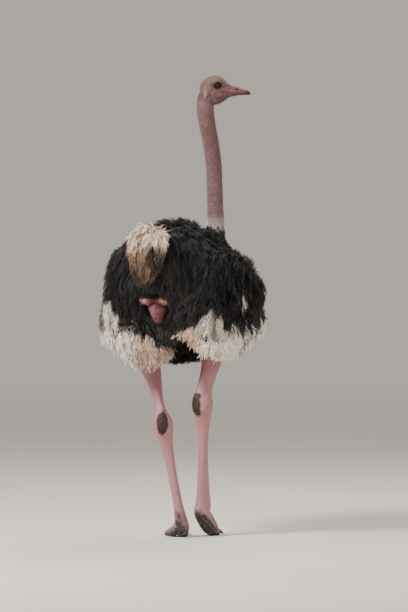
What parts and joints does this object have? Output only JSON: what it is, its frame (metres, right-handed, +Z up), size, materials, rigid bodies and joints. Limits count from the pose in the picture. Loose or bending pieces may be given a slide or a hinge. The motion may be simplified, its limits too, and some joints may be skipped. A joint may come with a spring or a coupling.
{
  "type": "ostrich",
  "caption": "Life-size still model of an adult male ostrich, walking slowly with one heel lifted and its head turned to its right.",
  "frame": {"origin": "on the ground, under the middle of the bird's bounding box", "axes": "+Z up, -Y the way the body faces, +X the bird's own left side"},
  "size_m": [0.75, 0.984, 2.0975],
  "materials": {
    "skin": "matte, finely wrinkled, with sparse short down",
    "leg_skin": "matte, creased, with scutes down the front",
    "black_feather": "loose, soft and dull black with grey-brown tips",
    "white_feather": "loose, soft and curly, off-white",
    "tail_feather": "loose and ragged, cream to brown",
    "horn": "satin horn",
    "claw_horn": "satin dark horn",
    "eye": "glossy, wet"
  },
  "bodies": {
    "root": {"head": "skin", "neck_lower": "skin", "neck_middle": "skin", "neck_upper": "skin", "vent": "skin", "thigh_left": "leg_skin", "thigh_right": "leg_skin", "shank_left": "leg_skin", "shank_right": "leg_skin", "tarsus_left": "leg_skin", "tarsus_right": "leg_skin", "toe_main_left": "leg_skin", "toe_main_right": "leg_skin", "toe_outer_left": "leg_skin", "toe_outer_right": "leg_skin", "trunk": "black_feather", "wing_left": "black_feather", "wing_right": "black_feather", "wing_plumes_left": "white_feather", "wing_plumes_right": "white_feather", "tail": "tail_feather", "bill_upper": "horn", "bill_lower": "horn", "claw_left": "claw_horn", "claw_right": "claw_horn", "eye_left": "eye", "eye_right": "eye"}
  },
  "joints": []
}
